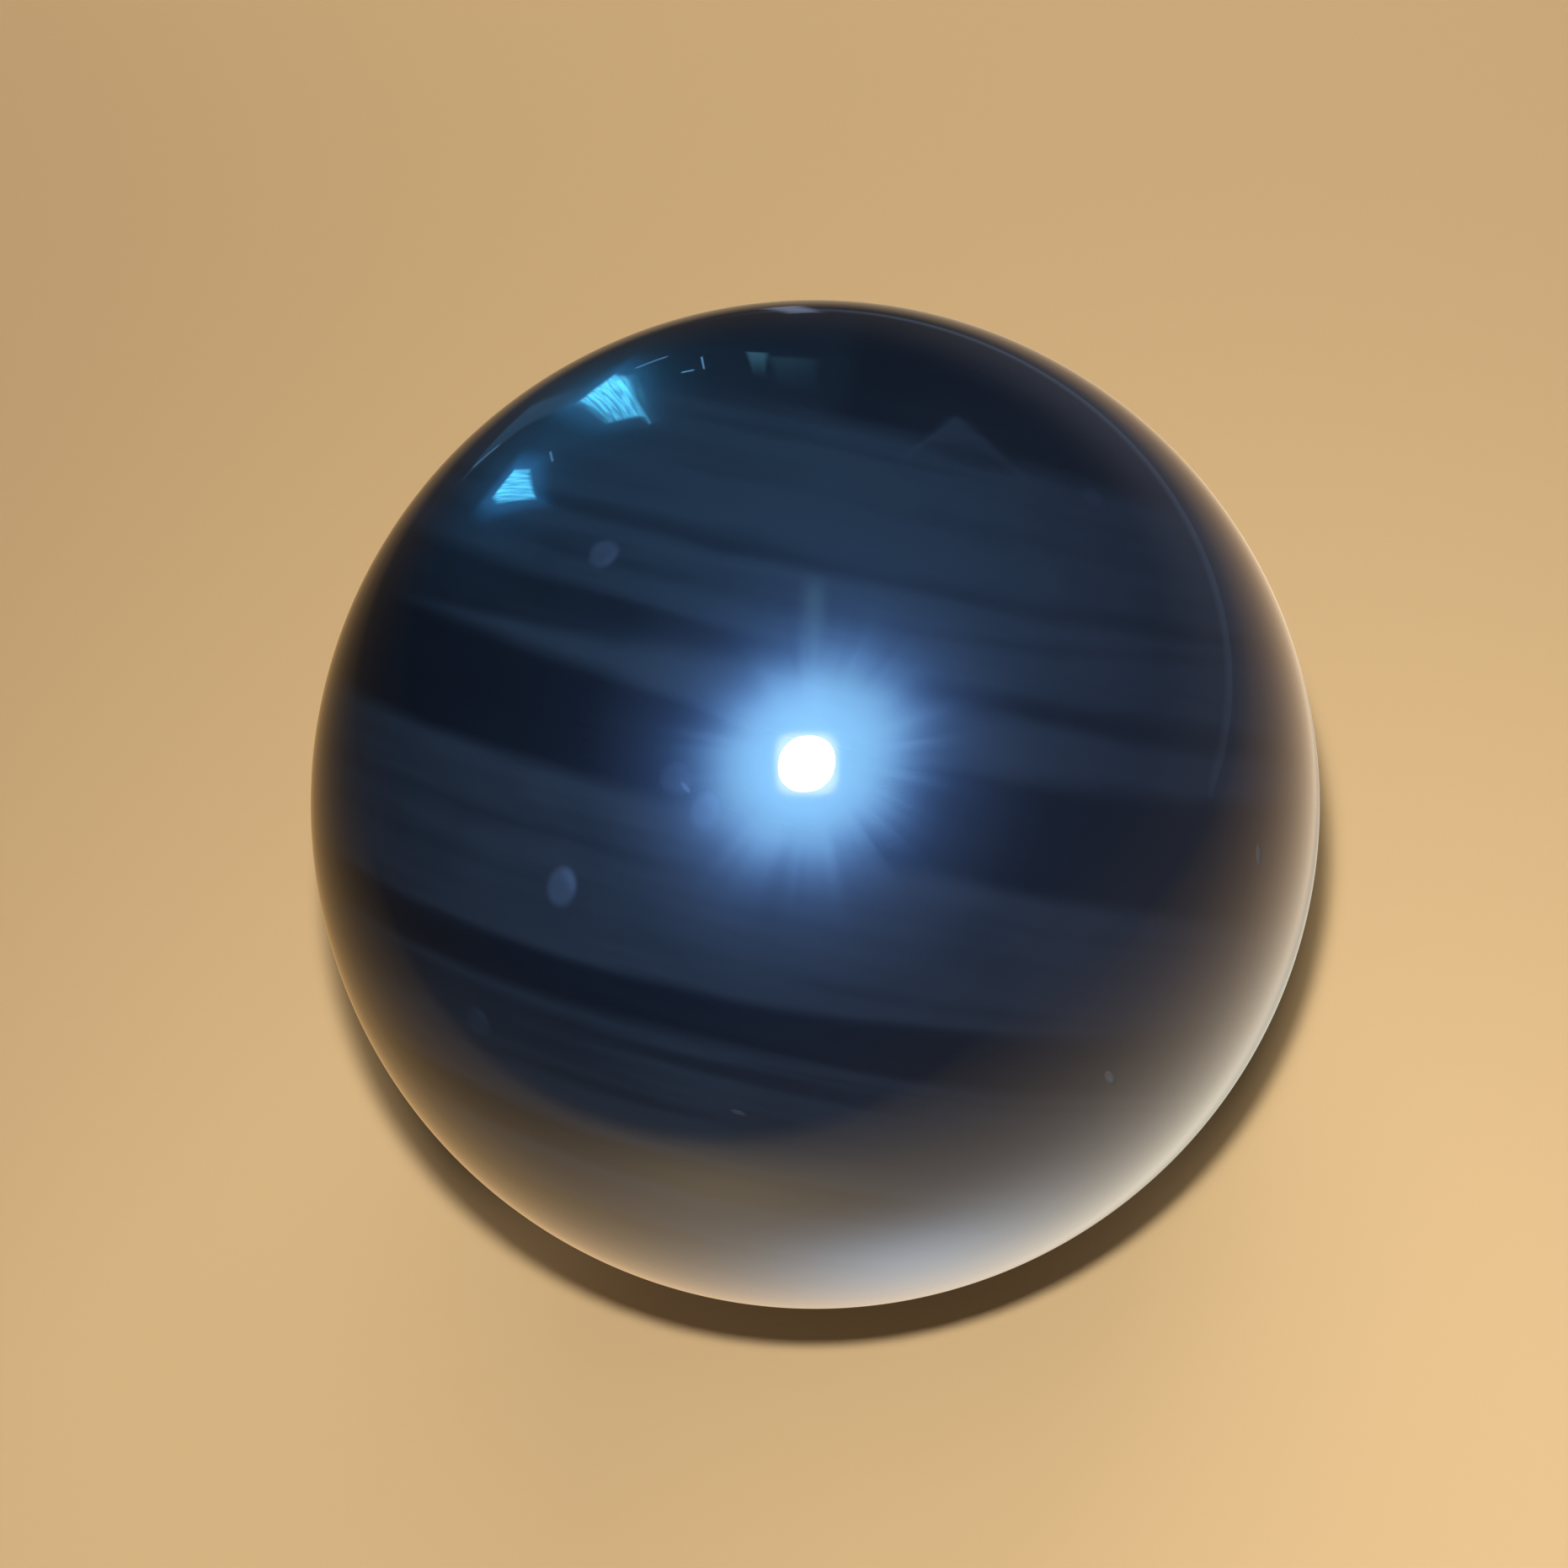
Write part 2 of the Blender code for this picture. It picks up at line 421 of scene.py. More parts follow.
def add_camera():
    data = bpy.data.cameras.new("camera")
    data.sensor_width = SENSOR_WIDTH
    data.lens = SENSOR_WIDTH * FOCAL_PIXELS / PICTURE_WIDTH
    data.clip_start = CAMERA_CLIP_START
    camera = bpy.data.objects.new("camera", data)
    bpy.context.scene.collection.objects.link(camera)
    per_pixel = CAMERA_DISTANCE / FOCAL_PIXELS
    aim = CENTRE - RIGHT * BALL_PIXELS_RIGHT * per_pixel + UP * BALL_PIXELS_DOWN * per_pixel
    back = (CAMERA_PLACE - aim).normalized()
    right = UP.cross(back).normalized()
    camera.location = CAMERA_PLACE
    set_axes(camera, right, back.cross(right), back)
    bpy.context.scene.camera = camera


def tangents(place, turn_degrees=0.0):
    """Directions along the skin at a place: right and up in the reference view, turned clockwise."""
    outward = place.normalized()
    right = (RIGHT - outward * RIGHT.dot(outward)).normalized()
    up = outward.cross(right)
    turn = math.radians(turn_degrees)
    turned_right = right * math.cos(turn) - up * math.sin(turn)
    turned_up = right * math.sin(turn) + up * math.cos(turn)
    return turned_right, turned_up


NICK_FRAMES = [(nick, nick.place.normalized(), *tangents(nick.place, nick.turn)) for nick in NICKS]


def nick_depths(direction):
    """How deep the skin is worn in that direction, and how worn it is from 0 to 1."""
    depth, worn = 0.0, 0.0
    for nick, outward, right, up in NICK_FRAMES:
        if direction.dot(outward) < NICK_COSINE:
            continue
        reach = math.hypot(direction.dot(right) / nick.half_width, direction.dot(up) / nick.half_height)
        if reach < 1.0:
            depth += nick.depth * (1.0 - reach**2) ** 2
            worn = max(worn, nick.wear * min(1.0, WEAR_RISE * (1.0 - reach)))
    return depth, worn


def surface_point(direction):
    """Where the skin is in that direction from the ball's centre, in ball radii."""
    return direction * (1.0 - nick_depths(direction)[0])


def surface_normal(direction):
    """The skin's outward normal, from two small steps along it."""
    right = direction.orthogonal().normalized()
    up = direction.cross(right)
    ahead, aside = (
        surface_point((direction + axis * NORMAL_STEP).normalized())
        - surface_point((direction - axis * NORMAL_STEP).normalized())
        for axis in (right, up)
    )
    return ahead.cross(aside).normalized()


def refine_round_nicks(skin):
    """Smaller cells at the nicks, so that their edges are clean."""
    for level in range(NICK_SUBDIVISIONS):
        cell = CELL_ANGLE / 2**level
        edges = {}
        for face in skin.faces:
            middle = face.calc_center_median().normalized()
            for nick, outward, _, _ in NICK_FRAMES:
                reach = max(nick.half_width, nick.half_height) * NICK_MARGIN + cell
                if (middle - outward).length < reach:
                    edges.update(dict.fromkeys(face.edges))
        bmesh.ops.subdivide_edges(skin, edges=list(edges), cuts=1, use_grid_fill=True)
        for vertex in skin.verts:
            vertex.co.normalize()


def blow_up_cube(skin):
    """A fine cube blown up to a ball of radius 1, with cells of even size."""
    bmesh.ops.create_cube(skin, size=2.0)
    bmesh.ops.subdivide_edges(skin, edges=skin.edges[:], cuts=CELLS_PER_SIDE - 1, use_grid_fill=True)
    for vertex in skin.verts:
        vertex.co = Vector([math.tan(c * math.pi / 4) for c in vertex.co]).normalized()


def cut_flat(skin, height):
    """Cuts the ball off level at that height, and closes it there with a fan of faces."""
    bmesh.ops.bisect_plane(
        skin,
        geom=skin.verts[:] + skin.edges[:] + skin.faces[:],
        dist=TOLERANCE,
        plane_co=(0.0, 0.0, height),
        plane_no=(0.0, 0.0, 1.0),
        clear_inner=True,
    )
    rim = [edge for edge in skin.edges if edge.is_boundary]
    for vertex in {v for edge in rim for v in edge.verts}:
        level = Vector((vertex.co.x, vertex.co.y, 0.0)).normalized() * FLAT_RADIUS / RADIUS
        vertex.co = (level.x, level.y, height)
    flat = bmesh.ops.contextual_create(skin, geom=rim)["faces"]
    bmesh.ops.poke(skin, faces=flat)
    bmesh.ops.recalc_face_normals(skin, faces=skin.faces[:])


def ball_mesh():
    """The skin, with its nicks, cut off at the flat and at its real size."""
    skin = bmesh.new()
    blow_up_cube(skin)
    refine_round_nicks(skin)
    flat_height = -CENTRE.z / RADIUS
    cut_flat(skin, flat_height)
    for vertex in skin.verts:
        on_skin = vertex.co.z > flat_height + TOLERANCE
        vertex.co = CENTRE + (surface_point(vertex.co) if on_skin else vertex.co) * RADIUS
    mesh = bpy.data.meshes.new("polished_skin")
    skin.to_mesh(mesh)
    skin.free()
    return mesh


def set_normals(mesh):
    """Each corner's normal comes from the true form, so that reflections run clean over the facets."""
    outward = []
    for vertex in mesh.vertices:
        direction = (vertex.co - CENTRE).normalized()
        near_nick = any(direction.dot(place) > NICK_COSINE for _, place, _, _ in NICK_FRAMES)
        outward.append(surface_normal(direction) if near_nick else direction)
    down = Vector((0.0, 0.0, -1.0))
    normals = []
    for face in mesh.polygons:
        on_flat = face.center.z < TOLERANCE
        for corner in face.loop_indices:
            normals.append(down if on_flat else outward[mesh.loops[corner].vertex_index])
    mesh.shade_smooth()
    mesh.normals_split_custom_set(normals)


def mark_worn(mesh):
    """How worn each point of the skin is, for the material."""
    worn = mesh.attributes.new("worn", "FLOAT", "POINT")
    for vertex in mesh.vertices:
        worn.data[vertex.index].value = nick_depths((vertex.co - CENTRE).normalized())[1]


class Wiring:
    """Short ways to add nodes to a material or a world. Each gives back what the new node puts out."""

    def __init__(self, material):
        self.tree = material.node_tree

    def node(self, kind, **settings):
        made = self.tree.nodes.new(kind)
        for name, value in settings.items():
            setattr(made, name, value)
        return made

    def plug(self, socket, value):
        """Links a socket to another node's output, or sets it."""
        if isinstance(value, bpy.types.NodeSocket):
            self.tree.links.new(value, socket)
        else:
            socket.default_value = value

    def place(self):
        """Where a point is, in the frame of the thing that it belongs to."""
        return self.node("ShaderNodeTexCoord").outputs["Object"]

    def attribute(self, name):
        return self.node("ShaderNodeAttribute", attribute_name=name).outputs["Fac"]

    def maths(self, operation, *values):
        made = self.node("ShaderNodeMath", operation=operation)
        for socket, value in zip(made.inputs, values):
            self.plug(socket, value)
        return made.outputs[0]

    def vectors(self, operation, *values):
        made = self.node("ShaderNodeVectorMath", operation=operation)
        for socket, value in zip(made.inputs, values):
            self.plug(socket, value)
        return made.outputs["Value" if operation in ("DOT_PRODUCT", "LENGTH") else "Vector"]

    def scaled(self, vector, amount):
        made = self.node("ShaderNodeVectorMath", operation="SCALE")
        self.plug(made.inputs[0], vector)
        self.plug(made.inputs["Scale"], amount)
        return made.outputs["Vector"]

    def joined(self, x, y, z):
        made = self.node("ShaderNodeCombineXYZ")
        for socket, value in zip(made.inputs, (x, y, z)):
            self.plug(socket, value)
        return made.outputs[0]

    def parted(self, vector):
        """A vector's x, y and z."""
        made = self.node("ShaderNodeSeparateXYZ")
        self.plug(made.inputs[0], vector)
        return tuple(made.outputs)

    def step(self, value, low, high, start=0.0, end=1.0):
        """start at low and before it, end at high and past it, and a smooth ramp between them."""
        made = self.node("ShaderNodeMapRange", interpolation_type="SMOOTHSTEP")
        for socket, setting in zip(made.inputs, (value, low, high, start, end)):
            self.plug(socket, setting)
        return made.outputs[0]

    def noise(self, vector, scale, detail=2.0, roughness=0.5):
        made = self.node("ShaderNodeTexNoise")
        self.plug(made.inputs["Vector"], vector)
        self.plug(made.inputs["Scale"], scale)
        self.plug(made.inputs["Detail"], detail)
        self.plug(made.inputs["Roughness"], roughness)
        return made.outputs[0]

    def reach(self, x, y):
        """How far a point is from the middle, on a plane."""
        return self.vectors("LENGTH", self.joined(x, y, 0.0))

    def product(self, first, *others):
        for other in others:
            first = self.maths("MULTIPLY", first, other)
        return first

    def mixed(self, amount, first, second):
        made = self.node("ShaderNodeMix", data_type="RGBA")
        self.plug(made.inputs[0], amount)
        self.plug(made.inputs[6], first)
        self.plug(made.inputs[7], second)
        return made.outputs[2]


def new_material(name):
    """A material with nodes, its wiring and its shader."""
    material = bpy.data.materials.new(name)
    material.use_nodes = True
    return material, Wiring(material), material.node_tree.nodes["Principled BSDF"]


def layer_places(wiring):
    """A point's place, its height square to the layers, its place across them and its depth, in radii."""
    place = wiring.scaled(wiring.vectors("SUBTRACT", wiring.place(), CENTRE), 1 / RADIUS)
    height = wiring.vectors("DOT_PRODUCT", place, LAYER_AXIS)
    across = wiring.vectors("DOT_PRODUCT", place, ACROSS_AXIS)
    depth = wiring.vectors("DOT_PRODUCT", place, DEPTH_AXIS)
    return place, height, across, depth


def layered_noise(wiring, noise, height, across, depth):
    """Noise in the glass that is finer square to the layers than along them."""
    place = wiring.joined(
        wiring.maths("MULTIPLY", across, noise.along),
        wiring.maths("MULTIPLY", depth, noise.along),
        wiring.maths("MULTIPLY", height, noise.square),
    )
    return wiring.noise(place, 1.0, noise.detail, noise.roughness)


def wandering(wiring, place, height, across, depth):
    """The height with the layers' slow wander and their feathered edges."""
    wander = wiring.maths("SUBTRACT", wiring.noise(place, WANDER_FINENESS, WANDER_DETAIL), NOISE_MIDDLE)
    at_back = wiring.step(depth, *WANDER_BACK_RAMP)
    reach = wiring.maths("MULTIPLY_ADD", at_back, WANDER_BACK, WANDER_FRONT)
    height = wiring.maths("MULTIPLY_ADD", wander, reach, height)
    feather = wiring.maths("SUBTRACT", layered_noise(wiring, FEATHER, height, across, depth), NOISE_MIDDLE)
    return wiring.maths("MULTIPLY_ADD", feather, FEATHER_REACH, height)


def edge_height(wiring, edge, across):
    """The height of one surface of a band: its middle, plus its slope and its curve to the right."""
    middle, slope, curve = edge
    bent = wiring.maths("MULTIPLY_ADD", across, curve, slope)
    return wiring.maths("MULTIPLY_ADD", across, bent, middle)


def band_amount(wiring, band, height, across):
    """1 inside a band and 0 outside it, with soft edges and ends."""
    above_bottom = wiring.maths("SUBTRACT", height, edge_height(wiring, band.bottom, across))
    below_top = wiring.maths("SUBTRACT", edge_height(wiring, band.top, across), height)
    inside = wiring.product(
        wiring.step(above_bottom, -band.soft, band.soft), wiring.step(below_top, -band.soft, band.soft)
    )
    if band.left > FAR_LEFT:
        inside = wiring.product(inside, wiring.step(across, band.left - BAND_END, band.left + BAND_END))
    if band.right < FAR_RIGHT:
        inside = wiring.product(inside, wiring.step(across, band.right + BAND_END, band.right - BAND_END))
    return inside


def fold_height(wiring, across):
    """The height of the pointed fold's edge."""
    left = wiring.maths("MULTIPLY", wiring.maths("SUBTRACT", FOLD_ACROSS, across), FOLD_LEFT_SLOPE)
    right = wiring.maths("MULTIPLY", wiring.maths("SUBTRACT", across, FOLD_ACROSS), FOLD_RIGHT_SLOPE)
    return wiring.maths("SUBTRACT", FOLD_HEIGHT, wiring.maths("SMOOTH_MAX", left, right, FOLD_ROUNDNESS))


def pocket_share(wiring, height, across):
    """How much of the glass's clearness the darker pocket under the fold leaves."""
    level = wiring.maths("MULTIPLY_ADD", across, 1 / POCKET_HALF_WIDTH, -POCKET_ACROSS / POCKET_HALF_WIDTH)
    raised = wiring.maths("MULTIPLY_ADD", height, 1 / POCKET_HALF_HEIGHT, -POCKET_HEIGHT / POCKET_HALF_HEIGHT)
    return wiring.step(wiring.reach(level, raised), *POCKET_RAMP, 1.0 - POCKET_DEPTH, 1.0)


def clear_amount(wiring, height, across):
    """How clear the glass is: 1 between the bands, less in them."""
    fold = fold_height(wiring, across)
    top_layer = wiring.maths("MAXIMUM", fold, TOP_LAYER_HEIGHT)
    in_top = wiring.step(wiring.maths("SUBTRACT", height, top_layer), -TOP_LAYER_SOFT, TOP_LAYER_SOFT)
    top_depth = wiring.step(across, *TOP_LAYER_RAMP, TOP_LAYER_LEFT_DEPTH, TOP_LAYER_RIGHT_DEPTH)
    clear = wiring.maths("SUBTRACT", 1.0, wiring.product(in_top, top_depth))
    clear = wiring.product(clear, pocket_share(wiring, height, across))
    for band in BANDS:
        inside = band_amount(wiring, band, height, across)
        clear = wiring.product(clear, wiring.maths("MULTIPLY_ADD", inside, -band.depth, 1.0))
    from_fold = wiring.maths("ABSOLUTE", wiring.maths("SUBTRACT", height, fold))
    pale = wiring.product(
        wiring.step(from_fold, FOLD_HALF_WIDTH, 0.0), wiring.step(fold, *FOLD_FOOT_RAMP), FOLD_PALENESS
    )
    return wiring.maths("ADD", clear, pale)


def laced(wiring, clear, height, across, depth):
    """Opens the dark layers at the back with paler lace."""
    lace = wiring.step(layered_noise(wiring, LACE, height, across, depth), *LACE_SHADES)
    return wiring.maths("MAXIMUM", clear, wiring.product(lace, wiring.step(depth, *LACE_BACK_RAMP)))


def streaked(wiring, clear, height, across, depth):
    """Makes the clearness uneven, with streaks and clouds."""
    for noise, shades in UNEVENNESS:
        share = wiring.step(layered_noise(wiring, noise, height, across, depth), *shades)
        clear = wiring.product(clear, share)
    return clear


def lit_side(outward, right, up):
    """The way along the skin towards the key light, as its share to the right and its share up."""
    towards = (KEY_PLACE - CENTRE).normalized() - outward
    size = math.hypot(towards.dot(right), towards.dot(up))
    return towards.dot(right) / size, towards.dot(up) / size


def bubble_amount(wiring, place, bubble):
    """How much a bubble pales the glass at a point, plus a painted highlight on its side towards the light.
    """
    outward = bubble.place.normalized()
    right, up = tangents(outward, bubble.turn)
    level = wiring.maths("DIVIDE", wiring.vectors("DOT_PRODUCT", place, right), bubble.half_width)
    upright = wiring.maths("DIVIDE", wiring.vectors("DOT_PRODUCT", place, up), bubble.half_height)
    disc = wiring.product(
        wiring.step(wiring.reach(level, upright), *BUBBLE_RIM_RAMP),
        wiring.step(wiring.vectors("DOT_PRODUCT", place, outward), *BUBBLE_SIDE_RAMP),
        bubble.paleness,
    )
    if bubble.edge == 0.0:
        return disc
    # Painted highlight: the bubble is painted paler on its side towards the key light
    lit_right, lit_up = lit_side(outward, right, up)
    lit = wiring.maths("ADD", wiring.product(level, lit_right), wiring.product(upright, lit_up))
    painted_highlight = wiring.maths("MULTIPLY_ADD", wiring.step(lit, *BUBBLE_PAINTED_HIGHLIGHT_RAMP), bubble.edge, 1.0)
    return wiring.product(disc, painted_highlight)


def glass_colour(wiring, place, clear, height, across):
    """Dark and clear glass, with painted light and shade by height and side, and the bubbles."""
    # Painted light and shade: the dark glass darker on the left, the clearer glass bluer in the upper layers
    to_right = wiring.step(across, *GLASS_PAINTED_LIGHT_RIGHT_RAMP)
    dark = wiring.mixed(to_right, DARK_GLASS_LEFT, DARK_GLASS_RIGHT)
    upper = wiring.mixed(to_right, CLEAR_GLASS_TOP_LEFT, CLEAR_GLASS_TOP_RIGHT)
    lower = wiring.mixed(to_right, CLEAR_GLASS_BOTTOM_LEFT, CLEAR_GLASS_BOTTOM_RIGHT)
    lit = wiring.mixed(wiring.step(height, *GLASS_PAINTED_LIGHT_TOP_RAMP), lower, upper)
    colour = wiring.mixed(clear, dark, lit)
    for bubble in BUBBLES:
        colour = wiring.mixed(bubble_amount(wiring, place, bubble), colour, BUBBLE_COLOUR)
    return colour


def ground_colour(wiring, place):
    """The flat's matt grey, with a fine grain."""
    grain = wiring.step(wiring.noise(place, GRAIN_FINENESS, GRAIN_DETAIL), *GRAIN_SHADES)
    return wiring.mixed(grain, BLACK, GROUND_COLOUR)


def ground_amount(wiring):
    """1 on the ground flat and 0 on the polish."""
    _, _, height = wiring.parted(wiring.place())
    return wiring.step(height, GROUND_HEIGHT * 2, GROUND_HEIGHT)


def obsidian_material():
    """Banded glass under a clear polished coat, matt where it is worn or ground."""
    material, wiring, shader = new_material("midnight_lace_obsidian")
    place, height, across, depth = layer_places(wiring)
    height = wandering(wiring, place, height, across, depth)
    clear = clear_amount(wiring, height, across)
    clear = laced(wiring, clear, height, across, depth)
    clear = streaked(wiring, clear, height, across, depth)
    worn = wiring.attribute("worn")
    ground = ground_amount(wiring)
    matt = wiring.maths("MAXIMUM", worn, ground)
    colour = wiring.mixed(worn, glass_colour(wiring, place, clear, height, across), NICK_COLOUR)
    wiring.plug(shader.inputs["Base Color"], wiring.mixed(ground, colour, ground_colour(wiring, place)))
    wiring.plug(shader.inputs["Roughness"], wiring.step(matt, 0.0, 1.0, HAZE_ROUGHNESS, WORN_ROUGHNESS))
    wiring.plug(shader.inputs["Coat Weight"], wiring.maths("SUBTRACT", 1.0, matt))
    shader.inputs["IOR"].default_value = GLASS_INDEX
    shader.inputs["Specular IOR Level"].default_value = HAZE_LEVEL
    shader.inputs["Specular Tint"].default_value = HAZE_TINT
    shader.inputs["Coat Roughness"].default_value = COAT_ROUGHNESS
    shader.inputs["Coat IOR"].default_value = COAT_INDEX
    return material


def add_ball():
    mesh = ball_mesh()
    mark_worn(mesh)
    set_normals(mesh)
    mesh.materials.append(obsidian_material())
    ball = bpy.data.objects.new("polished_ball", mesh)
    bpy.context.scene.collection.objects.link(ball)
    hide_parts("obsidian_sphere")
    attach(ball, "root")


def stage_object(name, mesh, material):
    mesh.materials.append(material)
    made = bpy.data.objects.new(name, mesh)
    bpy.context.scene.collection.objects.link(made)
    return made


def seen_only_in_gloss(made):
    """Leaves a thing to be seen in reflections and nowhere else, and gives it no shadow."""
    made.visible_camera = False
    made.visible_diffuse = False
    made.visible_transmission = False
    made.visible_volume_scatter = False
    made.visible_shadow = False


def light_material(name, strength=1.0):
    """A surface that only gives light. Returns the material, its wiring and its light."""
    material, wiring, shader = new_material(name)
    wiring.tree.nodes.remove(shader)
    light = wiring.node("ShaderNodeEmission")
    light.inputs["Color"].default_value = WHITE
    light.inputs["Strength"].default_value = strength
    wiring.plug(wiring.tree.nodes["Material Output"].inputs["Surface"], light.outputs[0])
    return material, wiring, light


def added_light_material(name):
    """A surface that adds its light to what is behind it. Returns the material, its wiring and its light."""
    material, wiring, light = light_material(name)
    both = wiring.node("ShaderNodeAddShader")
    wiring.plug(both.inputs[0], light.outputs[0])
    wiring.plug(both.inputs[1], wiring.node("ShaderNodeBsdfTransparent").outputs[0])
    wiring.plug(wiring.tree.nodes["Material Output"].inputs["Surface"], both.outputs[0])
    return material, wiring, light


def lobe_light(wiring, lobe, x, y):
    """The light of one lobe of the pool at a place on the floor."""
    across = wiring.maths("DIVIDE", wiring.maths("SUBTRACT", x, lobe.x), lobe.reach_x)
    along = wiring.maths("DIVIDE", wiring.maths("SUBTRACT", y, lobe.y), lobe.reach_y)
    spread = wiring.maths("ADD", wiring.product(across, across), wiring.product(along, along))
    fade = wiring.maths("POWER", wiring.maths("ADD", spread, 1.0), -lobe.fall)
    return wiring.scaled(lobe.light, fade)


def far_share(wiring, x, y):
    """How far a place on the floor is towards the pool's far edge, which has the share 1."""
    right = wiring.maths("DIVIDE", wiring.maths("MAXIMUM", x, 0.0), POOL_RIGHT_EDGE)
    back = wiring.maths("DIVIDE", wiring.maths("MAXIMUM", y, 0.0), POOL_BACK_EDGE)
    return wiring.reach(right, back)


def pool_amount(wiring, place, x, y, far):
    """How much of the pool's light there is: less at the ball's foot and in its shadow, and none far out."""
    from_shadow = wiring.vectors("LENGTH", wiring.vectors("SUBTRACT", place, SHADOW_PLACE))
    to_front = wiring.vectors("DOT_PRODUCT", place, FRONT_DIRECTION)
    return wiring.product(
        wiring.step(wiring.reach(x, y), *FOOT_RAMP, FOOT_LEVEL, 1.0),
        wiring.step(from_shadow, *SHADOW_RAMP, SHADOW_LEVEL, 1.0),
        wiring.step(to_front, *FRONT_RAMP),
        wiring.step(far, *POOL_FAR_RAMP),
    )


def trim_amount(wiring, x, y, far):
    """1 on the cool trim round the pool's far edge, and 0 elsewhere."""
    return wiring.product(
        wiring.step(far, *TRIM_INNER_RAMP),
        wiring.step(far, *TRIM_OUTER_RAMP),
        wiring.step(x, *TRIM_SIDE_RAMP),
        wiring.step(y, *TRIM_FRONT_RAMP),
    )


def pool_material():
    """The floor's light as the polish mirrors it: brightest near the ball, and fading out all round."""
    material, wiring, light = added_light_material("mirrored_pool")
    place = wiring.scaled(wiring.place(), 1 / RADIUS)
    x, y, _ = wiring.parted(place)
    far = far_share(wiring, x, y)
    pool = Vector((0.0, 0.0, 0.0))
    for lobe in POOL_LOBES:
        pool = wiring.vectors("ADD", lobe_light(wiring, lobe, x, y), pool)
    pool = wiring.scaled(pool, pool_amount(wiring, place, x, y, far))
    trim = wiring.scaled(TRIM_LIGHT, trim_amount(wiring, x, y, far))
    wiring.plug(light.inputs["Color"], wiring.vectors("ADD", pool, trim))
    return material


def from_line(wiring, place, source):
    """How far the ball's centre is from the line between a place and a light, in ball radii."""
    along = wiring.vectors("NORMALIZE", wiring.vectors("SUBTRACT", place, source))
    aside = wiring.vectors("LENGTH", wiring.vectors("CROSS_PRODUCT", along, CENTRE - source))
    return wiring.maths("DIVIDE", aside, RADIUS)


def floor_material():
    """Plain and matt, with a painted contact shadow that deepens the real one."""
    material, wiring, shader = new_material("floor")
    place = wiring.place()
    key_hidden = wiring.step(from_line(wiring, place, KEY_PLACE), *KEY_HIDDEN_RAMP)
    fill_reaches = wiring.step(from_line(wiring, place, FILL_PLACE), *FILL_REACHES_RAMP)
    # Painted shadow: the floor's colour is darkened round the ball's contact
    kept = wiring.maths("MULTIPLY_ADD", wiring.product(key_hidden, fill_reaches), -PAINTED_SHADOW_DEPTH, 1.0)
    wiring.plug(shader.inputs["Base Color"], wiring.scaled(FLOOR_COLOUR, kept))
    shader.inputs["Roughness"].default_value = FLOOR_ROUGHNESS
    shader.inputs["Specular IOR Level"].default_value = 0.0
    return material


def flat_mesh(name, outline):
    mesh = bpy.data.meshes.new(name)
    mesh.from_pydata(outline, [], [list(range(len(outline)))])
    return mesh


def square(half, height):
    """The corners of a level square."""
    return [(-half, -half, height), (half, -half, height), (half, half, height), (-half, half, height)]


def add_floor():
    """A wide floor, and the light on it that the ball's polish mirrors."""
    floor = stage_object("floor", flat_mesh("floor", square(FLOOR_WIDTH / 2, -POOL_GAP)), floor_material())
    floor.visible_glossy = False
    pool_mesh = flat_mesh("mirrored_pool", square(POOL_HALF * RADIUS, 0.0))
    seen_only_in_gloss(stage_object("mirrored_pool", pool_mesh, pool_material()))


def leaning_square(width, corner, lean, steps=8):
    """Points round a square with round corners, whose upper side leans to the right."""
    reach = width / 2 - corner
    points = []
    for quarter in range(4):
        middle = math.pi / 4 + quarter * math.pi / 2
        centre = (math.copysign(reach, math.cos(middle)), math.copysign(reach, math.sin(middle)))
        for step in range(steps + 1):
            angle = quarter * math.pi / 2 + step / steps * math.pi / 2
            y = centre[1] + corner * math.sin(angle)
            points.append((centre[0] + corner * math.cos(angle) + lean * y, y, 0.0))
    return points


def ring(radius, steps=64):
    """Points round a circle."""
    turns = [math.tau * step / steps for step in range(steps)]
    return [(radius * math.cos(turn), radius * math.sin(turn), 0.0) for turn in turns]


def glow_reach(wiring, place):
    """How far the glow reaches from its middle towards a place."""
    outward = wiring.vectors("NORMALIZE", place)
    x, y, _ = wiring.parted(outward)
    share = GLOW_EVEN_SHARE
    for ripple in GLOW_RIPPLES:
        noise = wiring.noise(outward, ripple.fineness, ripple.detail)
        share = wiring.maths("MULTIPLY_ADD", noise, ripple.reach, share)
    share = wiring.maths("MULTIPLY_ADD", wiring.product(x, y), GLOW_SLANT, share)
    return wiring.maths("MULTIPLY", share, GLOW_RADIUS)


def glow_level(wiring, glow, distance, share):
    """How bright one colour of the glow is: nearly even, and fading out past its reach."""
    even = wiring.step(distance, GLOW_MIDDLE_RADIUS / 2, GLOW_MIDDLE_RADIUS, glow.middle, 1.0)
    fall = wiring.maths("POWER", wiring.maths("DIVIDE", share, glow.spread), GLOW_FALL)
    return wiring.maths("DIVIDE", wiring.product(even, GLOW_STRENGTH), wiring.maths("ADD", fall, 1.0))


def ray_level(wiring, x, y):
    """One soft ray upwards from the face."""
    from_ray = wiring.maths("ABSOLUTE", wiring.maths("SUBTRACT", x, RAY_PLACE))
    return wiring.product(
        wiring.step(from_ray, RAY_HALF_WIDTH, 0.0),
        wiring.step(y, *RAY_TOP_RAMP),
        wiring.step(y, 0.0, GLOW_RADIUS),
        RAY_STRENGTH,
    )


def fringe_level(wiring, x, y):
    """1 at the face and 0 past a thin fringe round it."""
    sides = []
    for place, shift in ((x, GLOW_RIGHT), (y, GLOW_UP)):
        aside = wiring.maths("ABSOLUTE", wiring.maths("ADD", place, shift))
        sides.append(wiring.maths("POWER", aside, FACE_SQUARENESS))
    from_face = wiring.maths("POWER", wiring.maths("ADD", *sides), 1 / FACE_SQUARENESS)
    return wiring.step(from_face, *FRINGE_RAMP)


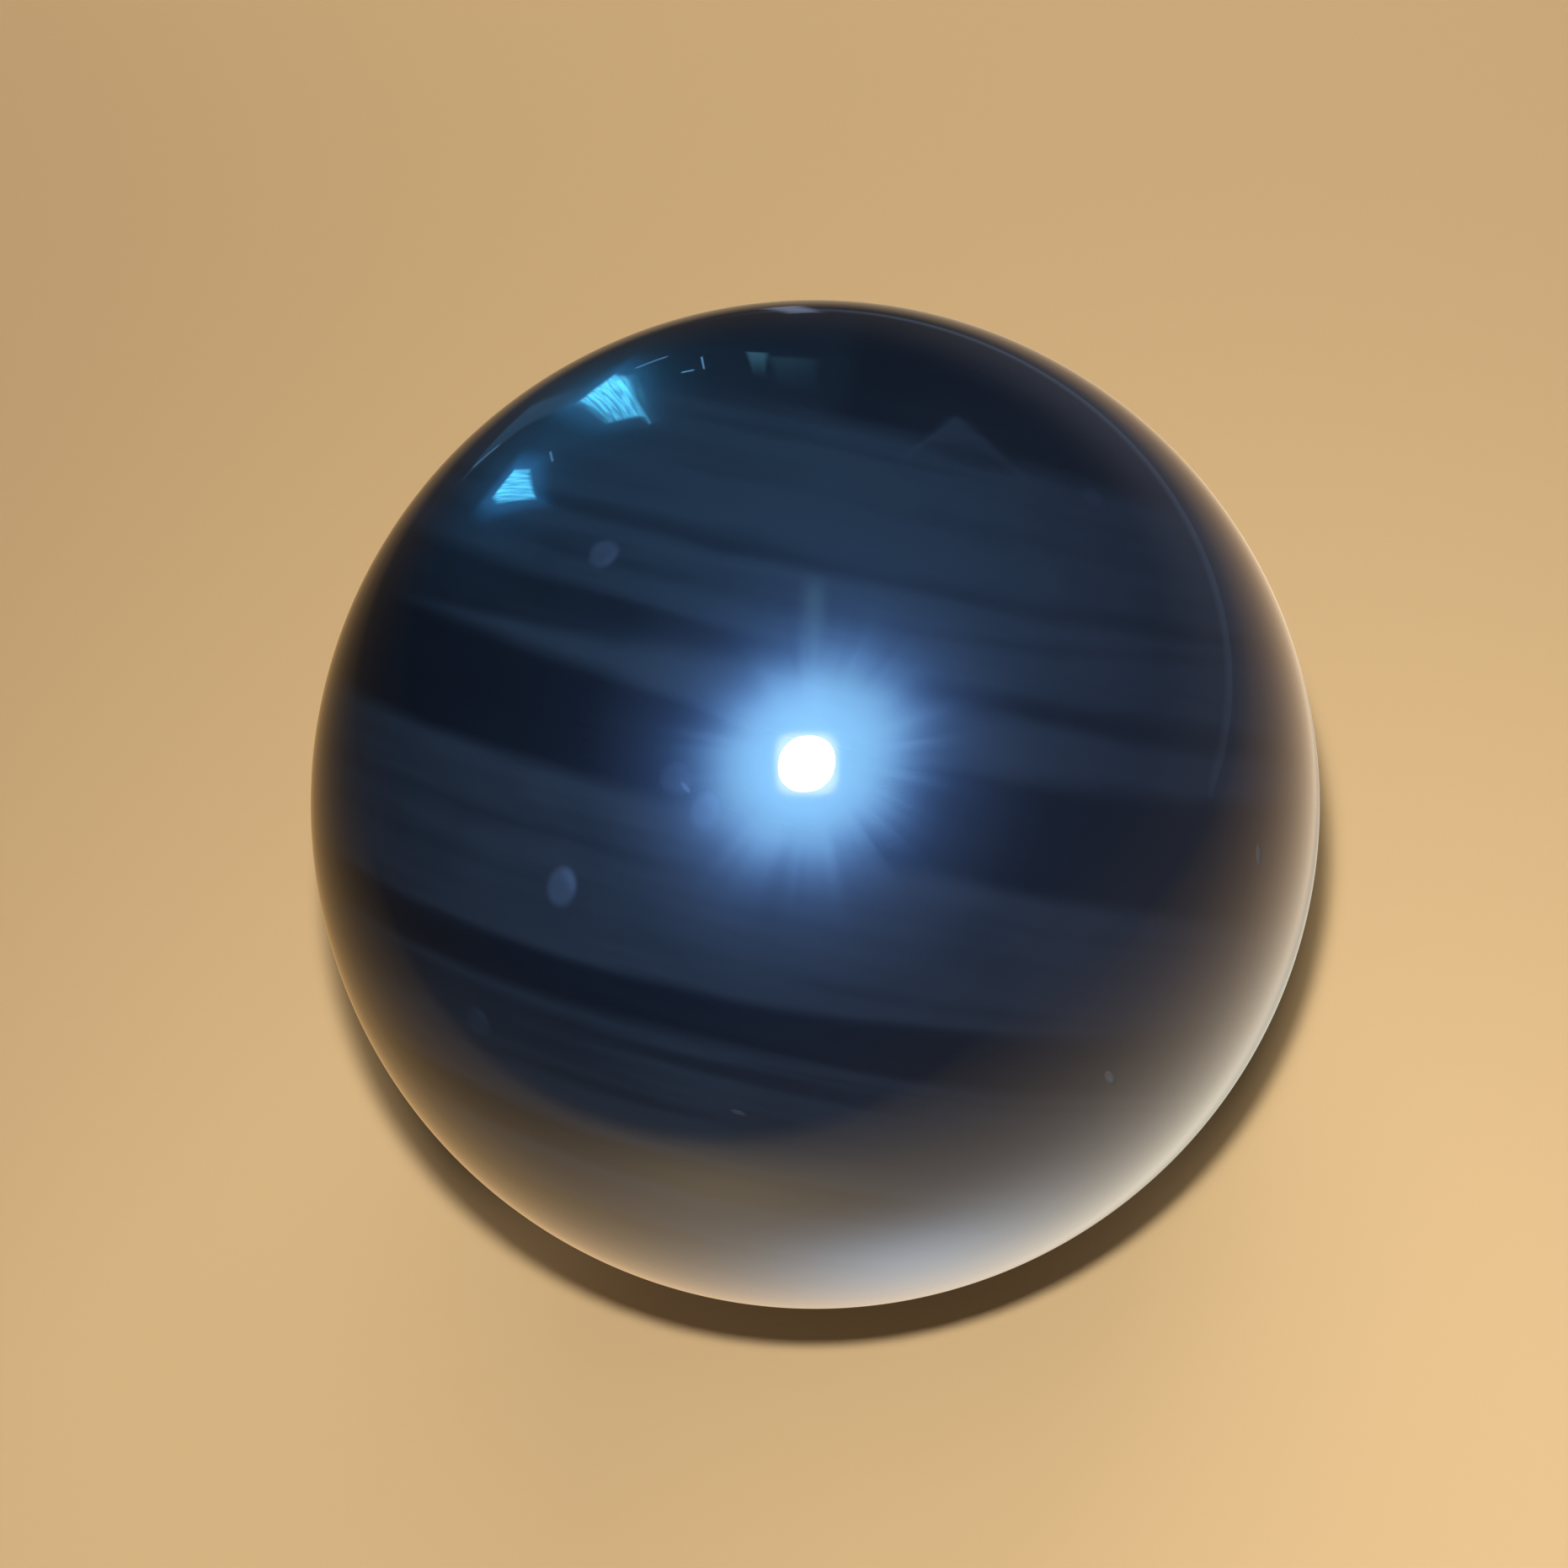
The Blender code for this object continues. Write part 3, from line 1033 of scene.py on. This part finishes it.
def glow_material():
    """The glow with its ray, its fringe round the face, and a faint veil that fades out last."""
    material, wiring, light = added_light_material("key_glow")
    place = wiring.place()
    x, y, _ = wiring.parted(place)
    distance = wiring.vectors("LENGTH", place)
    share = wiring.maths("DIVIDE", distance, glow_reach(wiring, place))
    ray = ray_level(wiring, x, y)
    total = VEIL_LIGHT
    for glow in GLOWS:
        level = wiring.maths("ADD", glow_level(wiring, glow, distance, share), ray)
        total = wiring.vectors("ADD", wiring.scaled(glow.light, level), total)
    total = wiring.vectors("ADD", wiring.scaled(FRINGE_LIGHT, fringe_level(wiring, x, y)), total)
    wiring.plug(light.inputs["Color"], wiring.scaled(total, wiring.step(distance, *VEIL_RAMP)))
    return material


def add_lamp(name, shape, size, power, place, target):
    """A lamp that lights what it shines on but isn't mirrored in it."""
    data = bpy.data.lights.new(name, "AREA")
    data.shape = shape
    data.size = size
    data.energy = power
    lamp = bpy.data.objects.new(name, data)
    bpy.context.scene.collection.objects.link(lamp)
    lamp.location = place
    lamp.rotation_mode = "QUATERNION"
    lamp.rotation_quaternion = (place - target).to_track_quat("Z", "Y")
    lamp.visible_glossy = False
    lamp.visible_camera = False


def face_ball(made, place):
    """Puts a flat thing in its place, square to the line to the ball and upright in the reference view."""
    made.location = place
    outward = (place - CENTRE).normalized()
    set_axes(made, *tangents(outward), outward)


def add_key_light():
    """The lamp, its bright face, and the glow a little behind the face."""
    add_lamp("key", "DISK", KEY_DIAMETER, KEY_POWER, KEY_PLACE, CENTRE)
    face_outline = leaning_square(FACE_WIDTH, FACE_CORNER, FACE_LEAN)
    face_material, _, _ = light_material("key_face", FACE_STRENGTH)
    face = stage_object("key_face", flat_mesh("key_face", face_outline), face_material)
    glow = stage_object("key_glow", flat_mesh("key_glow", ring(GLOW_REACH)), glow_material())
    behind = (KEY_PLACE - CENTRE).normalized() * GLOW_GAP
    glow_place = KEY_PLACE + behind + RIGHT * GLOW_RIGHT + UP * GLOW_UP
    for made, place in ((face, KEY_PLACE), (glow, glow_place)):
        seen_only_in_gloss(made)
        face_ball(made, place)


def sky_direction(round_degrees, up_degrees):
    """The direction that is so far round from +Y towards +X, and so far up."""
    turn, lift = math.radians(round_degrees), math.radians(up_degrees)
    return Vector((math.sin(turn) * math.cos(lift), math.cos(turn) * math.cos(lift), math.sin(lift)))


def corner_steps(corners):
    """At each corner of an outline, the step outwards that moves both of its edges out by one."""
    following = corners[1:] + corners[:1]
    area = sum(here[0] * there[1] - there[0] * here[1] for here, there in zip(corners, following))
    sign = math.copysign(1.0, area)
    steps = []
    for index, corner in enumerate(corners):
        before, after = corners[index - 1], following[index]
        first = Vector((corner[1] - before[1], before[0] - corner[0])).normalized() * sign
        second = Vector((after[1] - corner[1], corner[0] - after[0])).normalized() * sign
        both = (first + second).normalized()
        steps.append(both / max(both.dot(first), 1 / LONGEST_CORNER_STEP))
    return steps


def panel_mesh(name, panel, distance):
    """The panel with its margin round it, and how bright each point is."""
    corners = panel.corners
    margin = [
        (corner[0] + step.x * panel.margin, corner[1] + step.y * panel.margin)
        for corner, step in zip(corners, corner_steps(corners))
    ]
    places = [CENTRE + sky_direction(*corner[:2]) * distance for corner in (*corners, *margin)]
    count = len(corners)
    faces = [list(range(count))]
    faces += [(here, (here + 1) % count, count + (here + 1) % count, count + here) for here in range(count)]
    mesh = bpy.data.meshes.new(name)
    mesh.from_pydata(places, [], faces)
    shine = mesh.attributes.new("shine", "FLOAT", "POINT")
    for index, corner in enumerate(corners):
        shine.data[index].value = corner[2]
    return mesh


def panel_material(name, panel):
    """Light that fades out over the margin, with fine streaks where the panel has them."""
    material, wiring, light = added_light_material(name)
    amount = wiring.product(wiring.step(wiring.attribute("shine"), 0.0, 1.0), panel.strength)
    if panel.across:
        place = wiring.scaled(wiring.place(), 1 / PANEL_DISTANCE)
        across = wiring.vectors("DOT_PRODUCT", place, panel.across)
        along = wiring.vectors("DOT_PRODUCT", place, STREAK_RUN)
        streaks = wiring.noise(wiring.joined(across, along, 0.0), 1.0, STREAK_DETAIL)
        amount = wiring.product(amount, wiring.step(streaks, *STREAK_SHADES))
    wiring.plug(light.inputs["Color"], wiring.scaled(panel.colour, amount))
    return material


def add_panels():
    """The panels, each a little further away than the last, so that none lies in another."""
    for index, (name, panel) in enumerate(PANELS.items()):
        mesh = panel_mesh(name, panel, PANEL_DISTANCE + PANEL_SPACING * index)
        seen_only_in_gloss(stage_object(name, mesh, panel_material(name, panel)))


def set_world():
    """Dim and blue where the polish mirrors it, soft and warm on the floor, and pale behind the ball."""
    world = bpy.data.worlds.new("studio")
    bpy.context.scene.world = world
    world.use_nodes = True
    wiring = Wiring(world)
    x, _, z = wiring.parted(wiring.node("ShaderNodeTexCoord").outputs["Generated"])
    far_floor = wiring.mixed(wiring.step(x, *FAR_FLOOR_RAMP), FAR_FLOOR_LEFT, FAR_FLOOR_RIGHT)
    colour = wiring.mixed(wiring.step(z, *HORIZON_RAMP), ABOVE_COLOUR, far_floor)
    path = wiring.node("ShaderNodeLightPath")
    colour = wiring.mixed(path.outputs["Is Diffuse Ray"], colour, AMBIENT_COLOUR)
    colour = wiring.mixed(path.outputs["Is Camera Ray"], colour, BACKDROP_COLOUR)
    wiring.plug(world.node_tree.nodes["Background"].inputs["Color"], colour)


bpy.context.scene.view_settings.view_transform = "Standard"
add_camera()
add_ball()
add_floor()
add_key_light()
add_lamp("fill", "SQUARE", FILL_WIDTH, FILL_POWER, FILL_PLACE, FILL_TARGET)
add_panels()
set_world()
